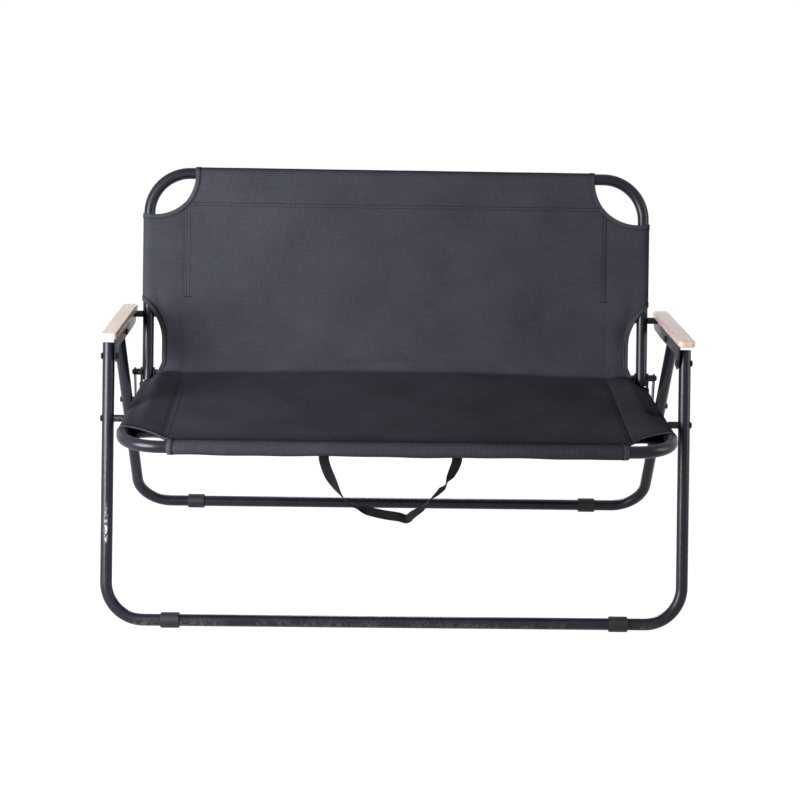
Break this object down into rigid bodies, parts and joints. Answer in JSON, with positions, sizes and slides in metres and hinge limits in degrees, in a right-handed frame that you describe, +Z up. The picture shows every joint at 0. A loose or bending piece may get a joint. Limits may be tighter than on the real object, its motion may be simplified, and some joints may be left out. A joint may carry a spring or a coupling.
{
  "type": "folding camping loveseat",
  "caption": "Low folding camping bench for two: bent steel tube frames, a fabric sling seat and back, wooden armrests and a carry strap.",
  "frame": {"origin": "on the floor under the middle of the bench's bounding box", "axes": "+X to the right as seen from the front, +Y towards the back of the bench, +Z up; the sitter faces -Y. Left and right in the node names are as seen from the front"},
  "size_m": [1.1, 0.5954, 0.7242],
  "materials": {
    "powder_coated_steel": "satin black powder coat, scuffed at the front legs",
    "blackened_hardware": "blackened steel rivets, bolts, nuts and spacers",
    "black_plastic": "moulded black plastic, fine matt grain",
    "beech_wood": "pale beech, rounded edges, clear satin varnish",
    "polyester_canvas": "charcoal coated polyester canvas, plain weave",
    "strap_webbing": "black woven webbing"
  },
  "bodies": {
    "front_leg": {"front_leg_tube": "powder_coated_steel", "front_leg_cap_left": "black_plastic", "front_leg_cap_right": "black_plastic", "front_foot_left": "black_plastic", "front_foot_right": "black_plastic", "seat_pivot_bolt_left": "blackened_hardware", "seat_pivot_bolt_right": "blackened_hardware", "seat_pivot_spacer_left": "blackened_hardware", "seat_pivot_spacer_right": "blackened_hardware", "seat_pivot_nut_left": "blackened_hardware", "seat_pivot_nut_right": "blackened_hardware", "armrest_front_rivet_left": "blackened_hardware", "armrest_front_rivet_right": "blackened_hardware"},
    "armrest_left": {"armrest_wood_left": "beech_wood", "armrest_bracket_left": "powder_coated_steel", "armrest_screw_1_left": "blackened_hardware", "armrest_screw_2_left": "blackened_hardware", "rear_leg_rivet_left": "blackened_hardware", "back_pivot_bolt_left": "blackened_hardware", "back_pivot_spacer_left": "blackened_hardware", "back_pivot_nut_left": "blackened_hardware"},
    "armrest_right": {"armrest_wood_right": "beech_wood", "armrest_bracket_right": "powder_coated_steel", "armrest_screw_1_right": "blackened_hardware", "armrest_screw_2_right": "blackened_hardware", "rear_leg_rivet_right": "blackened_hardware", "back_pivot_bolt_right": "blackened_hardware", "back_pivot_spacer_right": "blackened_hardware", "back_pivot_nut_right": "blackened_hardware"},
    "rear_leg": {"rear_leg_tube": "powder_coated_steel", "rear_leg_cap_left": "black_plastic", "rear_leg_cap_right": "black_plastic", "rear_foot_left": "black_plastic", "rear_foot_right": "black_plastic", "link_rivet_left": "blackened_hardware", "link_rivet_right": "blackened_hardware"},
    "link_left": {"link_plate_left": "powder_coated_steel"},
    "link_right": {"link_plate_right": "powder_coated_steel"},
    "back": {"back_frame_tube": "powder_coated_steel", "back_frame_cap_left": "black_plastic", "back_frame_cap_right": "black_plastic", "back_sling": "polyester_canvas"},
    "seat": {"seat_frame_tube": "powder_coated_steel", "seat_frame_cap_left": "black_plastic", "seat_frame_cap_right": "black_plastic", "hinge_plate_outer_left": "powder_coated_steel", "hinge_plate_outer_right": "powder_coated_steel", "hinge_plate_inner_left": "powder_coated_steel", "hinge_plate_inner_right": "powder_coated_steel", "hinge_rivet_left": "blackened_hardware", "hinge_rivet_right": "blackened_hardware", "hinge_bolt_left": "blackened_hardware", "hinge_bolt_right": "blackened_hardware", "hinge_spacer_left": "blackened_hardware", "hinge_spacer_right": "blackened_hardware", "hinge_nut_left": "blackened_hardware", "hinge_nut_right": "blackened_hardware", "seat_sling": "polyester_canvas", "carry_strap": "strap_webbing"}
  },
  "joints": [
    {"name": "seat_fold", "type": "hinge", "parent": "front_leg", "child": "seat", "pos_m": [0, -0.11078, 0.35591], "axis": [-1, 0, 0], "range_deg": [0, 96]},
    {"name": "back_fold", "type": "hinge", "parent": "seat", "child": "back", "pos_m": [0, 0.13513, 0.34947], "axis": [1, 0, 0], "range_deg": [0, 96]},
    {"name": "armrest_left_fold", "type": "hinge", "parent": "front_leg", "child": "armrest_left", "pos_m": [0, -0.06716, 0.46123], "axis": [-1, 0, 0], "range_deg": [0, 96]},
    {"name": "armrest_right_fold", "type": "hinge", "parent": "front_leg", "child": "armrest_right", "pos_m": [0, -0.06716, 0.46123], "axis": [-1, 0, 0], "range_deg": [0, 96]},
    {"name": "rear_leg_fold", "type": "hinge", "parent": "armrest_left", "child": "rear_leg", "pos_m": [0, 0.0599, 0.46191], "axis": [1, 0, 0], "range_deg": [0, 51]},
    {"name": "link_left_fold", "type": "hinge", "parent": "back", "child": "link_left", "pos_m": [0, 0.13513, 0.34947], "axis": [-1, 0, 0], "range_deg": [0, 164]},
    {"name": "link_right_fold", "type": "hinge", "parent": "back", "child": "link_right", "pos_m": [0, 0.13513, 0.34947], "axis": [-1, 0, 0], "range_deg": [0, 164]}
  ],
  "couplings": [
    {"joint": "back_fold", "follows": "seat_fold", "ratio": 1},
    {"joint": "armrest_left_fold", "follows": "seat_fold", "ratio": 1},
    {"joint": "armrest_right_fold", "follows": "seat_fold", "ratio": 1},
    {"joint": "rear_leg_fold", "follows": "seat_fold", "ratio": 0.52556},
    {"joint": "link_left_fold", "follows": "seat_fold", "ratio": 1.6994},
    {"joint": "link_right_fold", "follows": "seat_fold", "ratio": 1.6994}
  ]
}
